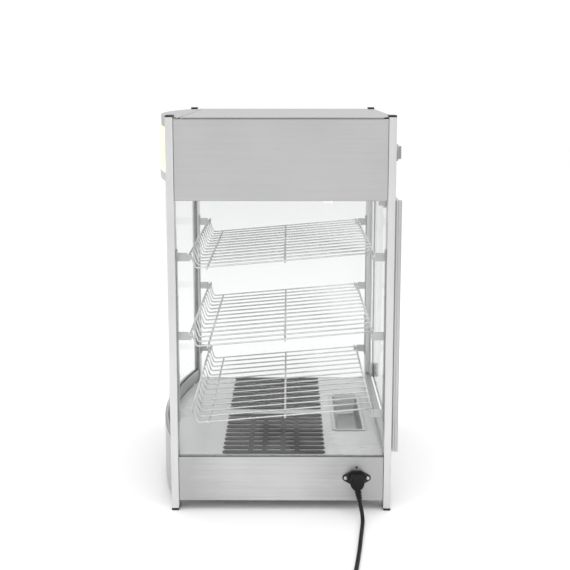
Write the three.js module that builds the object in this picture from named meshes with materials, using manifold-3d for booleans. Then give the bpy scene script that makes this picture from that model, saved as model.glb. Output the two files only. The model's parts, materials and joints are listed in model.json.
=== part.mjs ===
// Countertop heated display case: a slim extruded frame with a bowed glass front, glazed
// sides, a swing door at the back, three tilted wire racks and a heated, moistened base.
// Millimetres, +Z up. The customer's side faces -Y, the server's side +Y, the inlet is on +X.
import * as THREE from 'three';
import { mergeVertices } from 'three/addons/utils/BufferGeometryUtils.js';
import Module from 'manifold-3d';

const wasm = await Module();
wasm.setup();

// ---------------------------------------------------------------- driving dimensions
const width = 460;               // over the corner posts, along X
const depth = 396;               // over the corner posts, along Y
const height = 712;              // floor to the top of the post caps
const caseShiftY = 6;            // moves the case so that its box is centred on the origin
const fit = 0.3;                 // gap between pieces that touch

const post = { x: 30, y: 13.5, groove: 5, corner: 2 };
const cap = { foot: 4, top: 3 };
const sheet = 1.2;               // folded steel sheet
const glass = 4;                 // thickness of every pane
const sideRecess = 3.2;          // side panels sit this far inside the posts' outer faces
const flange = 13.8;             // width of the folded edges of the side panels

const floorPanelZ = 18;          // underside of the lower panels
const deckZ = 101.8;             // top face of the deck
const sidePanelTop = 100;        // top of the lower side panels
const hoodZ = 565;               // underside of the upper panels
const roofZ = height - cap.top - fit;
const roofSheet = 1.5;
const frontSillTop = 127.5;
const rearSillTop = 118;

const bow = { half: 199.4, ends: -197.8, apex: -229 };
const bowSegments = 14;
const signBottom = 609.3;
const signTop = 689.7;
const signBulge = 2.8;
const trimBottom = 595;

const rackLevels = [175.5, 319, 462.5];
const rackNames = ['rack_bottom', 'rack_middle', 'rack_top'];
const wireCount = 14;
const wire = { radius: 1.5, halfSpread: 198, slope: 5 };
const rod = { radius: 2, halfLength: 212, front: -162.5, rear: 163.8, above: 3 };
const tab = { x: 205.5, thick: 2, half: 7.5, nose: 4.8, notch: 2.5 };

const grate = { x0: 15.2, x1: 215.3, y0: -107, y1: 80, bars: 10, bar: 13, tall: 1.5 };
const pan = { halfX: 104, y0: 98, y1: 165, deep: 40, rim: 7, corner: 9 };

const door = { x0: -223, x1: 216, y: 201.5, z0: 112, z1: 565 };
const doorAxis = { x: -219, y: 211 };
const hingePin = 2.5;

const knob = { x: 93, z: 638, skirt: 19, grip: 17 };
const rockerX = [-55, -90];
const rockerNames = ['power_switch_rocker', 'lamp_switch_rocker'];
const rockerTilt = 8;            // degrees each way from level

const inlet = { y: 136, z: 62 };
const lead = { radius: 3.5, coilX: 517, coilY: 60.5 };
const coil = { inner: 27.7, outer: 49.3, tall: 14.3 };

// -------------------------------------------------------------------------- finishes
const finish = (color, roughness, metalness) =>
  new THREE.MeshStandardMaterial({ color, roughness, metalness });
const clear = (color, opacity) =>
  new THREE.MeshStandardMaterial({ color, roughness: 0.05, metalness: 0, transparent: true, opacity });

const finishes = {
  aluminium: () => finish('#d3d4d4', 0.38, 0.9),
  steel: () => finish('#bdbdbc', 0.4, 0.85),
  deckSteel: () => finish('#c9cac8', 0.3, 0.9),
  wireSteel: () => finish('#b4b4b2', 0.25, 0.95),
  glass: () => clear('#eef3f2', 0.25),
  sign: () => finish('#fff8dc', 0.5, 0),
  lamp: () => finish('#fff3cf', 0.35, 0),
  iron: () => finish('#4b4b4a', 0.6, 0.4),
  plastic: () => finish('#1c1c1d', 0.55, 0),
  knob: () => finish('#b3b3b2', 0.4, 0.2),
  element: () => finish('#6a6259', 0.5, 0.7),
  rubber: () => finish('#161617', 0.75, 0),
};

// ---------------------------------------------------------------------- solid helpers
function signedVolume(position, index) {
  const a = new THREE.Vector3();
  const b = new THREE.Vector3();
  const c = new THREE.Vector3();
  let volume = 0;
  for (let i = 0; i < index.length; i += 3) {
    a.fromBufferAttribute(position, index[i]);
    b.fromBufferAttribute(position, index[i + 1]);
    c.fromBufferAttribute(position, index[i + 2]);
    volume += a.dot(b.cross(c));
  }
  return volume;
}

// A closed three.js geometry as a manifold solid, turned so that its faces point out.
function solid(geometry) {
  const bare = geometry.clone();
  bare.deleteAttribute('normal');
  bare.deleteAttribute('uv');
  const merged = mergeVertices(bare, 1e-4);
  const triVerts = Uint32Array.from(merged.index.array);
  if (signedVolume(merged.attributes.position, triVerts) < 0) triVerts.reverse();
  const vertProperties = Float32Array.from(merged.attributes.position.array);
  return new wasm.Manifold(new wasm.Mesh({ numProp: 3, vertProperties, triVerts }));
}

const join = (first, ...rest) => rest.reduce((sum, next) => sum.add(next), first);
const cut = (first, ...rest) => rest.reduce((left, next) => left.subtract(next), first);

function geometryOf(manifold) {
  const mesh = manifold.getMesh();
  const geometry = new THREE.BufferGeometry();
  geometry.setAttribute('position', new THREE.BufferAttribute(Float32Array.from(mesh.vertProperties), 3));
  geometry.setIndex(new THREE.BufferAttribute(Uint32Array.from(mesh.triVerts), 1));
  geometry.computeVertexNormals();
  return geometry;
}

function block(x0, x1, y0, y1, z0, z1) {
  const geometry = new THREE.BoxGeometry(x1 - x0, y1 - y0, z1 - z0);
  geometry.translate((x0 + x1) / 2, (y0 + y1) / 2, (z0 + z1) / 2);
  return solid(geometry);
}

function outline(points) {
  return new THREE.Shape(points.map(([x, y]) => new THREE.Vector2(x, y)));
}

function roundedRect(x0, x1, y0, y1, radius) {
  const shape = new THREE.Shape();
  shape.moveTo(x0 + radius, y0);
  shape.lineTo(x1 - radius, y0);
  shape.absarc(x1 - radius, y0 + radius, radius, -Math.PI / 2, 0, false);
  shape.lineTo(x1, y1 - radius);
  shape.absarc(x1 - radius, y1 - radius, radius, 0, Math.PI / 2, false);
  shape.lineTo(x0 + radius, y1);
  shape.absarc(x0 + radius, y1 - radius, radius, Math.PI / 2, Math.PI, false);
  shape.lineTo(x0, y0 + radius);
  shape.absarc(x0 + radius, y0 + radius, radius, Math.PI, Math.PI * 1.5, false);
  return shape;
}

// Extrusions up and sideways; the outline is drawn in (x, y) or in (y, z).
function extrudeZ(shape, z0, z1, curveSegments = 3) {
  const geometry = new THREE.ExtrudeGeometry(shape, { depth: z1 - z0, bevelEnabled: false, curveSegments });
  geometry.translate(0, 0, z0);
  return solid(geometry);
}

function extrudeX(shape, x0, x1, curveSegments = 3) {
  const geometry = new THREE.ExtrudeGeometry(shape, { depth: x1 - x0, bevelEnabled: false, curveSegments });
  geometry.rotateX(Math.PI / 2);
  geometry.rotateZ(Math.PI / 2);
  geometry.translate(x0, 0, 0);
  return solid(geometry);
}

// A round bar from one point to another, with flat ends.
function bar(from, to, radiusFrom, radiusTo = radiusFrom, sides = 6) {
  const start = new THREE.Vector3(...from);
  const end = new THREE.Vector3(...to);
  const along = end.clone().sub(start);
  const geometry = new THREE.CylinderGeometry(radiusTo, radiusFrom, along.length(), sides);
  geometry.applyQuaternion(
    new THREE.Quaternion().setFromUnitVectors(new THREE.Vector3(0, 1, 0), along.normalize()));
  geometry.translate((start.x + end.x) / 2, (start.y + end.y) / 2, (start.z + end.z) / 2);
  return solid(geometry);
}

// A tube of constant section along a curve, with flat ends.
function tube(curve, radius, steps, sides = 8) {
  const section = new THREE.Shape();
  for (let i = 0; i < sides; i += 1) {
    const angle = (i / sides) * Math.PI * 2;
    const place = [radius * Math.cos(angle), radius * Math.sin(angle)];
    if (i === 0) section.moveTo(...place);
    else section.lineTo(...place);
  }
  section.closePath();
  return solid(new THREE.ExtrudeGeometry(section, { steps, extrudePath: curve, bevelEnabled: false }));
}

// ------------------------------------------------------------------------ bowed front
// Every piece of the bowed front is a band about one upright axis behind the case.
const bowRise = bow.ends - bow.apex;
const bowRadius = (bow.half ** 2 + bowRise ** 2) / (2 * bowRise);
const bowCentreY = bow.apex + bowRadius;

function bowArc(shape, radius, half, backwards) {
  const sweep = Math.asin(half / radius);
  const left = -Math.PI / 2 - sweep;
  const right = -Math.PI / 2 + sweep;
  if (backwards) shape.absarc(0, bowCentreY, radius, right, left, true);
  else shape.absarc(0, bowCentreY, radius, left, right, false);
}

function bowBand(innerOffset, outerOffset, z0, z1, half = bow.half) {
  const shape = new THREE.Shape();
  bowArc(shape, bowRadius + outerOffset, half, false);
  bowArc(shape, bowRadius + innerOffset, half, true);
  shape.closePath();
  return extrudeZ(shape, z0, z1, bowSegments);
}

// The flat region between the bow and a straight line behind it.
function bowFill(offset, backY, z0, z1, half = bow.half) {
  const shape = new THREE.Shape();
  bowArc(shape, bowRadius + offset, half, false);
  shape.lineTo(half, backY);
  shape.lineTo(-half, backY);
  shape.closePath();
  return extrudeZ(shape, z0, z1, bowSegments);
}

const glassBand = { inner: -7.8, outer: -7.8 + glass };
const glassGroove = { inner: glassBand.inner - 0.4, outer: glassBand.outer + 0.4 };
const panelBand = { inner: 1.5, outer: 3 };

function frontGlass() {
  return bowBand(glassBand.inner, glassBand.outer, 116.5, 602.5, bow.half + 4.2);
}

function frontGlassChannel() {
  const body = bowBand(-9.5, panelBand.inner - fit, deckZ + 0.6, frontSillTop);
  return cut(body, bowBand(glassGroove.inner, glassGroove.outer, 116, height));
}

function lowerFrontPanel() {
  const skin = bowBand(panelBand.inner, panelBand.outer, floorPanelZ, frontSillTop - 1.5);
  return join(skin, bowBand(-12, panelBand.inner + 0.5, floorPanelZ, floorPanelZ + sheet));
}

function signTrim() {
  const rail = bowBand(-9.5, 2.5, trimBottom, signBottom - fit);
  const shelf = bowFill(-9, -184.3, trimBottom, trimBottom + sheet);
  return cut(join(rail, shelf), bowBand(glassGroove.inner, glassGroove.outer, 0, 603, bow.half + 1));
}

function signDiffuser() {
  const inner = bowRadius - 0.8;
  const edge = bowRadius + 2.2;
  const middle = (signBottom + signTop) / 2;
  const half = (signTop - signBottom) / 2;
  const profile = [new THREE.Vector2(inner, signBottom)];
  for (let i = -3; i <= 3; i += 1) {
    const part = i / 3;
    profile.push(new THREE.Vector2(edge + signBulge * (1 - part * part), middle + part * half));
  }
  profile.push(new THREE.Vector2(inner, signTop));
  profile.push(profile[0].clone());
  const ring = new THREE.LatheGeometry(profile, 180);
  ring.rotateX(Math.PI / 2);
  ring.translate(0, bowCentreY, 0);
  return solid(ring).intersect(block(-bow.half, bow.half, bow.apex - 20, -100, 0, height));
}

// ------------------------------------------------------------------------------ frame
// One extrusion serves all four corners: a groove for the side pane in its inward face,
// and one for the bowed pane in the face that looks along the front.
function cornerPost(sideX, sideY) {
  const outX = width / 2;
  const inX = outX - post.x;
  const outY = depth / 2;
  const inY = outY - post.y;
  const r = post.corner;
  const points = [
    [inX, inY], [218.6, inY], [218.6, inY + post.groove], [223.4, inY + post.groove], [223.4, inY],
    [outX, inY], [outX, outY - r], [outX - r * 0.3, outY - r * 0.3], [outX - r, outY],
    [inX, outY], [inX, 194.3], [inX + post.groove, 194.3], [inX + post.groove, 187.6], [inX, 187.6],
  ];
  const shape = outline(points.map(([x, y]) => [x * sideX, y * sideY]));
  return extrudeZ(shape, cap.foot + fit, height - cap.top - fit);
}

function endCap(sideX, sideY, z0, z1) {
  const x = [width / 2 - post.x, width / 2].map((v) => v * sideX).sort((a, b) => a - b);
  const y = [depth / 2 - post.y, depth / 2].map((v) => v * sideY).sort((a, b) => a - b);
  return extrudeZ(roundedRect(x[0], x[1], y[0], y[1], post.corner), z0, z1);
}

// ----------------------------------------------------------------------------- panels
const panelOut = width / 2 - sideRecess;
const panelEnd = depth / 2 - post.y - fit;

// A side panel is a sheet whose top and bottom edges are folded inwards.
function sidePanel(side, z0, z1) {
  const inward = panelOut - flange;
  const [a, b] = [inward * side, panelOut * side].sort((m, n) => m - n);
  const [c, d] = [(panelOut - sheet) * side, panelOut * side].sort((m, n) => m - n);
  return join(
    block(c, d, -panelEnd, panelEnd, z0, z1),
    block(a, b, -panelEnd, panelEnd, z0, z0 + sheet),
    block(a, b, -panelEnd, panelEnd, z1 - sheet, z1));
}

function lowerSidePanelRight() {
  const plain = sidePanel(1, floorPanelZ, sidePanelTop);
  return cut(plain, block(220, 230, inlet.y - 14, inlet.y + 14, inlet.z - 10, inlet.z + 10));
}

function sideGlass(side) {
  const [a, b] = [219 * side, (219 + glass) * side].sort((m, n) => m - n);
  return block(a, b, -188.9, 188.9, sidePanelTop + fit, hoodZ - fit);
}

// The rear panel folds over at the top into a sill that closes down on the deck.
function lowerRearPanel() {
  return join(
    block(-bow.half, bow.half, 197 - sheet, 197, floorPanelZ, rearSillTop),
    block(-bow.half, bow.half, 185, 197, rearSillTop - sheet, rearSillTop),
    block(-bow.half, bow.half, 185, 185 + sheet, deckZ + 0.6, rearSillTop),
    block(-bow.half, bow.half, 191.5, 197, floorPanelZ, floorPanelZ + sheet));
}

function controlPanel() {
  const body = join(
    block(-bow.half, bow.half, 197 - sheet, 197, hoodZ + fit, 705.5),
    block(-bow.half, bow.half, 181, 197, hoodZ + fit, hoodZ + fit + sheet),
    block(-bow.half, bow.half, 181, 197, 705.5 - sheet, 705.5));
  const holes = rockerX.map((x) => block(x - 8, x + 8, 190, 200, knob.z - 11.5, knob.z + 11.5));
  return cut(body, ...holes, bar([knob.x, 190, knob.z], [knob.x, 200, knob.z], 4, 4, 12));
}

function basePlate() {
  const plate = block(-bow.half, bow.half, -190, 190, floorPanelZ + sheet + fit, floorPanelZ + 2 * sheet + fit);
  const slots = [];
  for (let i = -4; i <= 4; i += 1) {
    slots.push(block(i * 24 - 4, i * 24 + 4, -60, 60, 0, 40));
  }
  return cut(plate, ...slots);
}

function roofPlate() {
  const edge = width / 2 - 1;
  const inner = bow.half + 0.2;
  const postFace = depth / 2 - post.y - fit;
  const nick = 8;
  return extrudeZ(outline([
    [-edge, -172.3], [edge, -172.3], [edge, postFace - nick], [edge - nick, postFace],
    [inner, postFace], [inner, 197.5], [-inner, 197.5], [-inner, postFace],
    [-edge + nick, postFace], [-edge, postFace - nick],
  ]), roofZ - roofSheet, roofZ);
}

function roofBowCover() {
  const edge = width / 2 - 1;
  const postFace = depth / 2 - post.y - fit;
  const top = bowFill(0, -postFace, roofZ - roofSheet, roofZ);
  const back = extrudeZ(outline([
    [-edge, -173.6], [-edge, -postFace + 6], [-edge + 6, -postFace], [edge - 6, -postFace],
    [edge, -postFace + 6], [edge, -173.6],
  ]), roofZ - roofSheet, roofZ);
  const overlap = block(-bow.half, bow.half, -postFace - 1, -postFace + 1, roofZ - roofSheet, roofZ);
  return join(top, back, overlap, bowBand(-1.5, 0, signTop + fit, roofZ - roofSheet / 2));
}

// One folded sheet makes the cabin's ceiling and the back of the sign's light box.
function hoodLiner() {
  return join(
    block(-212.5, 212.5, -183.8, 183.8, hoodZ + 3, hoodZ + 3 + sheet),
    block(-212.5, 212.5, -183.8, -183.8 + sheet, hoodZ + 3, 704));
}

function signLamp() {
  return join(
    block(-152, 152, -192, -184.2, 641, 659),
    bar([-150, -197, 650], [150, -197, 650], 7.5, 7.5, 10));
}

function cabinLamp() {
  const profile = [[0, 531], [9, 533], [14.5, 539], [16, 547], [16, 553], [19, 554], [19, 567.6], [0, 567.6]];
  const geometry = new THREE.LatheGeometry(profile.map(([x, y]) => new THREE.Vector2(x, y)), 16);
  geometry.rotateX(Math.PI / 2);
  geometry.translate(0, 92, 0);
  return solid(geometry);
}

// ------------------------------------------------------------------------------- base
const heaterField = { x0: 27, x1: 203, y0: -92, y1: 65 };

function deckPlate() {
  const sheetZ = deckZ - roofSheet;
  const half = 217.6;
  const main = block(-half, half, -184.1, 184.1, sheetZ, deckZ);
  const nose = bowFill(-10, -184.5 + 1, sheetZ, deckZ);
  const tail = block(-bow.half, bow.half, 183, 190, sheetZ, deckZ);
  const panHole = roundedRect(-pan.halfX + pan.rim, pan.halfX - pan.rim, pan.y0 + pan.rim, pan.y1 - pan.rim, 6);
  return cut(join(main, nose, tail), extrudeZ(panHole, 0, height));
}

function heaterTray() {
  const { x1, y0, y1 } = heaterField;
  const out = [x1 + 4, y0 - 4, y1 + 4];
  return cut(
    block(-out[0], out[0], out[1], out[2], 70, 100),
    block(-out[0] + sheet, out[0] - sheet, out[1] + sheet, out[2] - sheet, 70 + sheet, 120));
}

// A sheathed heating rod bent once into a long U that runs under both grates.
function heatingElement() {
  const path = new THREE.CurvePath();
  const bend = 46.5;
  const centre = new THREE.Vector3(-150, -13.5, 86);
  const at = (angle) => new THREE.Vector3(
    centre.x - bend * Math.sin(angle), centre.y - bend * Math.cos(angle), centre.z);
  const stops = [new THREE.Vector3(204, centre.y - bend, centre.z)];
  for (let i = 0; i <= 8; i += 1) stops.push(at((i / 8) * Math.PI));
  stops.push(new THREE.Vector3(204, centre.y + bend, centre.z));
  for (let i = 1; i < stops.length; i += 1) path.add(new THREE.LineCurve3(stops[i - 1], stops[i]));
  return tube(path, 4, 36, 6);
}

// Long bars with rounded ends that stand past the outermost of four cross ties; the
// outline runs along the front ends and back along the rear ones, then the slots are cut.
function deckGrate() {
  const { x0, x1, y0, y1, bars, bar: wide, tall } = grate;
  const pitch = (x1 - x0 - wide) / (bars - 1);
  const round = wide / 2;
  const middle = (y0 + y1) / 2;
  const tieHalf = 4.5;
  const ties = [-42.5, -17, 17, 42.5].map((offset) => middle + offset);
  const frontNotch = ties[0] - tieHalf;
  const rearNotch = ties[3] + tieHalf;
  const shape = new THREE.Shape();
  for (let i = 0; i < bars; i += 1) {
    const left = x0 + i * pitch;
    if (i > 0) shape.lineTo(left, frontNotch);
    shape.absarc(left + round, y0 + round, round, Math.PI, Math.PI * 2, false);
    if (i < bars - 1) shape.lineTo(left + wide, frontNotch);
  }
  for (let i = bars - 1; i >= 0; i -= 1) {
    const left = x0 + i * pitch;
    if (i < bars - 1) shape.lineTo(left + wide, rearNotch);
    shape.absarc(left + round, y1 - round, round, 0, Math.PI, false);
    if (i > 0) shape.lineTo(left, rearNotch);
  }
  shape.closePath();
  const slots = [];
  for (let i = 0; i < bars - 1; i += 1) {
    const gap = [x0 + i * pitch + wide, x0 + (i + 1) * pitch];
    for (let n = 0; n < 3; n += 1) {
      slots.push(block(...gap, ties[n] + tieHalf, ties[n + 1] - tieHalf, deckZ, height));
    }
  }
  return cut(extrudeZ(shape, deckZ + fit, deckZ + fit + tall, 4), ...slots);
}

function waterPan() {
  const { halfX, y0, y1, deep, rim, corner } = pan;
  const top = deckZ + fit + 1.5;
  const inset = rim + 0.6;
  const wall = 1.2;
  const lip = extrudeZ(roundedRect(-halfX, halfX, y0, y1, corner), deckZ + fit, top);
  const tub = extrudeZ(
    roundedRect(-halfX + inset, halfX - inset, y0 + inset, y1 - inset, 5.5), deckZ - deep, top);
  const inside = inset + wall;
  const hollow = extrudeZ(
    roundedRect(-halfX + inside, halfX - inside, y0 + inside, y1 - inside, 4.5), deckZ - deep + wall, 200);
  return cut(join(lip, tub), hollow);
}

// ------------------------------------------------------------------------------ racks
// Heights are measured from the middle of the tabs that carry the rack.
const wireDrop = Math.tan(THREE.MathUtils.degToRad(wire.slope));
const weld = rod.radius + wire.radius - 0.4;
const wireRearZ = rod.above + weld;
const wireZ = (y) => wireRearZ - (rod.rear - y) * wireDrop;

function rack() {
  const bendY = -152;
  const solids = [];
  for (const y of [7, -132]) {
    const z = wireZ(y) - weld;
    solids.push(bar([-200, y, z], [200, y, z], rod.radius));
  }
  for (const y of [rod.front, rod.rear]) {
    solids.push(bar([-rod.halfLength, y, rod.above], [rod.halfLength, y, rod.above], rod.radius));
  }
  for (let i = 0; i < wireCount; i += 1) {
    const x = -wire.halfSpread + (i * 2 * wire.halfSpread) / (wireCount - 1);
    solids.push(wireRun([
      new THREE.Vector3(x, rod.rear + 2, wireZ(rod.rear + 2)),
      new THREE.Vector3(x, bendY + 5, wireZ(bendY + 5)),
      new THREE.Vector3(x, bendY - 1.6, wireZ(bendY) + 2),
      new THREE.Vector3(x, rod.front + 1.6, rod.above + 3),
    ]));
  }
  return join(...solids);
}

// A wire bent in one upright plane: a ring of points stands at every bend, square to the
// mean of the two runs that meet there, so the corners are mitred.
function wireRun(stops) {
  const sides = 5;
  const rings = stops.map((stop, n) => {
    const before = stops[Math.max(n - 1, 0)];
    const after = stops[Math.min(n + 1, stops.length - 1)];
    const a = stop.clone().sub(before).normalize();
    const b = after.clone().sub(stop).normalize();
    const run = (n === 0 ? b : n === stops.length - 1 ? a : a.add(b)).normalize();
    const up = new THREE.Vector3(0, -run.z, run.y);
    const ring = [];
    for (let i = 0; i < sides; i += 1) {
      const angle = (i / sides) * Math.PI * 2;
      ring.push(stop.clone()
        .addScaledVector(up, wire.radius * Math.cos(angle))
        .add(new THREE.Vector3(wire.radius * Math.sin(angle), 0, 0)));
    }
    return ring;
  });
  const positions = rings.flat().flatMap((p) => [p.x, p.y, p.z]);
  const index = [];
  for (let n = 0; n < rings.length - 1; n += 1) {
    for (let i = 0; i < sides; i += 1) {
      const j = (i + 1) % sides;
      const [a, b, c, d] = [n * sides + i, n * sides + j, (n + 1) * sides + i, (n + 1) * sides + j];
      index.push(a, b, c, b, d, c);
    }
  }
  const last = (rings.length - 1) * sides;
  for (let i = 1; i < sides - 1; i += 1) {
    index.push(0, i + 1, i);
    index.push(last, last + i, last + i + 1);
  }
  const geometry = new THREE.BufferGeometry();
  geometry.setAttribute('position', new THREE.Float32BufferAttribute(positions, 3));
  geometry.setIndex(index);
  return solid(geometry);
}

// A strip screwed to the post, with one notched tab for each rack.
function rackSupport(sideX, sideY) {
  const face = depth / 2 - post.y - fit;
  const rodY = sideY < 0 ? -rod.front : rod.rear;
  const nose = rodY - tab.nose;
  const place = (x0, x1, y0, y1, z0, z1) => {
    const [a, b] = [x0 * sideX, x1 * sideX].sort((m, n) => m - n);
    const [c, d] = [y0 * sideY, y1 * sideY].sort((m, n) => m - n);
    return block(a, b, c, d, z0, z1);
  };
  let body = place(203, 215, face - 1.5, face, rackLevels[0] - 14, rackLevels[2] + 14);
  for (const level of rackLevels) {
    const plate = place(tab.x, tab.x + tab.thick, nose, face - 1, level - tab.half, level + tab.half);
    const notch = place(tab.x - 1, tab.x + tab.thick + 1, rodY - tab.notch, rodY + tab.notch,
      level + rod.above - rod.radius - fit, level + 20);
    const chamfer = place(tab.x - 1, tab.x + tab.thick + 1, nose - 1, nose + 2.5, level - 9, level - 4.5);
    body = body.add(cut(plate, notch, chamfer));
  }
  return body;
}

// ------------------------------------------------------------------------------- door
function doorGlass() {
  return block(door.x0, door.x1, door.y, door.y + glass, door.z0, door.z1);
}

// An edge profile that grips the pane and has a finger groove down its outer face.
function doorHandle() {
  const slot = [door.y - fit, door.y + glass + fit];
  const shape = outline([
    [214, 199.6], [228, 199.6], [228, 209], [225.4, 209], [225, 206.4], [221, 206.4], [220.6, 209],
    [218, 209], [218, 207.4], [214, 207.4], [214, slot[1]], [216.4, slot[1]], [216.4, slot[0]],
    [214, slot[0]],
  ]);
  return extrudeZ(shape, door.z0 - 1, door.z1 + 0.5);
}

// The clamp holds a corner of the pane and turns on the bracket's pin; up is +1 or -1.
function doorClamp(up) {
  const edge = up > 0 ? door.z1 : door.z0;
  const span = (from, to) => [edge + from * up, edge + to * up].sort((a, b) => a - b);
  const body = span(-24, 1.5);
  const slot = span(-30, 0.4);
  const bore = span(-10.5, 5);
  return cut(
    join(
      block(-224, -200, 199.9, 207.3, ...body),
      bar([doorAxis.x, doorAxis.y, body[0]], [doorAxis.x, doorAxis.y, body[1]], 5, 5, 16)),
    block(door.x0 - 0.4, -190, door.y - fit, door.y + glass + fit, ...slot),
    bar([doorAxis.x, doorAxis.y, bore[0]], [doorAxis.x, doorAxis.y, bore[1]], 3, 3, 16));
}

function hingeBracket(up) {
  const edge = up > 0 ? door.z1 : door.z0;
  const span = (from, to) => [edge + from * up, edge + to * up].sort((a, b) => a - b);
  const plate = span(3, 25);
  const ear = span(3, 6);
  const pin = span(-9.5, 4);
  return join(
    block(-229, -209, 198.3, 200.8, ...plate),
    block(-225, -213, 198.3, doorAxis.y, ...ear),
    bar([doorAxis.x, doorAxis.y, ear[0]], [doorAxis.x, doorAxis.y, ear[1]], 6, 6, 16),
    bar([doorAxis.x, doorAxis.y, pin[0]], [doorAxis.x, doorAxis.y, pin[1]], hingePin, hingePin, 16));
}

function doorCatch() {
  return join(
    block(186, 198, 172, 198.6, 553, hoodZ - fit),
    block(188, 196, 180, 199.4, 549, 554));
}

// --------------------------------------------------------------------------- controls
function thermostatKnob() {
  const profile = [
    [0, 190], [3, 190], [3, 197.4], [knob.skirt, 197.4], [knob.skirt, 200], [knob.grip, 201.5],
    [knob.grip - 1, 215], [knob.grip - 2.5, 216.5], [0, 216.5],
  ];
  const turned = new THREE.LatheGeometry(profile.map(([x, y]) => new THREE.Vector2(x, y)), 20);
  const grip = new THREE.BoxGeometry(5, 8, 24);
  grip.translate(0, 218, 0);
  return join(solid(turned), solid(grip));
}

function thermostat() {
  return join(
    block(knob.x - 20, knob.x + 20, 152, 184, knob.z - 20, knob.z + 20),
    bar([knob.x, 183, knob.z], [knob.x, 189.6, knob.z], 5, 5, 12));
}

// The profile is drawn about the rocker's own pivot, level; it rests tipped to "off".
function rocker() {
  const shape = outline([[-8, -7], [-8, 7], [0, 8.4], [4.6, 9.4], [2.8, 0], [4.6, -9.4], [0, -8.4]]);
  return extrudeX(shape, -7, 7);
}

function powerInlet() {
  const shape = new THREE.Shape();
  const end = THREE.MathUtils.degToRad(62);
  shape.moveTo(-8, 13.5);
  shape.lineTo(-22.6, 4.9);
  shape.absarc(-20, 0, 5.5, Math.PI - end, Math.PI + end, false);
  shape.lineTo(-8, -13.5);
  shape.lineTo(8, -13.5);
  shape.absarc(20, 0, 5.5, -end, end, false);
  shape.lineTo(8, 13.5);
  shape.closePath();
  const flangeOut = width / 2 - 0.2;
  const body = join(
    extrudeX(shape, panelOut + fit, flangeOut, 6),
    block(206, panelOut + 1, -13.5, 13.5, -9.5, 9.5));
  return cut(body, block(211, 240, -12.3, 12.3, -8.3, 8.3));
}

// ------------------------------------------------------------------------- mains lead
const bootFrom = new THREE.Vector3(242.5, 136, 52.5);
const bootRun = new THREE.Vector3(0.342, 0.17, -0.924).normalize();
const bootEnd = bootFrom.clone().addScaledVector(bootRun, 24);

// A moulded connector whose lead leaves downwards through a tapered strain relief.
function leadConnector() {
  const face = width / 2 + 0.2;
  const head = outline([[-13, 1], [-10, 10], [10, 10], [13, 1], [12, -6], [7.5, -13], [-7.5, -13], [-12, -6]]);
  const housing = extrudeX(head, face, face + 22).translate([0, inlet.y, inlet.z]);
  const nose = block(213, face + 1, inlet.y - 11.6, inlet.y + 11.6, inlet.z - 7.6, inlet.z + 7.6);
  const boot = bar(bootFrom.toArray(), bootEnd.toArray(), 6.8, 4.8, 10);
  return join(housing, nose, boot);
}

// Points of the lead's centre line from the strain relief to where it joins the coil.
const leadRoute = [
  [256.9, 142.3, 19.1], [265, 143.7, 11.5], [274.9, 144, 6.3], [283.7, 143.4, 4.1], [291, 142.4, 3.65],
  [310, 139.9, 3.65], [335, 136.6, 3.65], [364, 132.8, 3.65], [397, 128, 3.65], [429, 123, 3.65],
  [455, 118.6, 3.65], [480, 114.1, 3.65], [499, 110.7, 3.65],
];

function powerCable() {
  const straight = [fit, 4].map((reach) => bootEnd.clone().addScaledVector(bootRun, reach));
  const points = [...straight, ...leadRoute.map((p) => new THREE.Vector3(...p))];
  return tube(new THREE.CatmullRomCurve3(points, false, 'centripetal'), lead.radius, 22, 8);
}

function cableCoil() {
  const { inner, outer, tall } = coil;
  const soft = 3;
  const profile = [
    [inner, soft], [inner + soft, 0], [outer - soft, 0], [outer, soft], [outer, tall - soft],
    [outer - soft, tall], [inner + soft, tall], [inner, tall - soft], [inner, soft],
  ];
  const geometry = new THREE.LatheGeometry(profile.map(([x, y]) => new THREE.Vector2(x, y)), 24);
  geometry.rotateX(Math.PI / 2);
  geometry.translate(lead.coilX, lead.coilY, 0);
  return solid(geometry);
}

// A round two-pin plug lying on its side; drawn along +Y from its strain relief.
function mainsPlug() {
  const profile = [[0, 0], [4.8, 0], [7, 24], [13, 32], [15.5, 46], [18.6, 48], [18.6, 64], [0, 64]];
  const geometry = new THREE.LatheGeometry(profile.map(([x, y]) => new THREE.Vector2(x, y)), 16);
  const pins = [-9.5, 9.5].map((x) => bar([x, 60, 0], [x, 83, 0], 2.4, 2.4, 10));
  return join(solid(geometry), ...pins);
}

// --------------------------------------------------------------------------- assembly
const group = new THREE.Group();
const caseGroup = new THREE.Group();
caseGroup.position.y = caseShiftY;
group.add(caseGroup);

function add(name, shape, material, parent = caseGroup) {
  const mesh = new THREE.Mesh(geometryOf(shape), material());
  mesh.name = name;
  parent.add(mesh);
  return mesh;
}

const corners = [['front', 'left', -1, -1], ['front', 'right', 1, -1],
  ['rear', 'left', -1, 1], ['rear', 'right', 1, 1]];
for (const [end, side, x, y] of corners) {
  add(`post_${end}_${side}`, cornerPost(x, y), finishes.aluminium);
  add(`foot_${end}_${side}`, endCap(x, y, 0, cap.foot), finishes.plastic);
  add(`post_cap_${end}_${side}`, endCap(x, y, height - cap.top, height), finishes.plastic);
  add(`rack_support_${end}_${side}`, rackSupport(x, y), finishes.aluminium);
}

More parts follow.
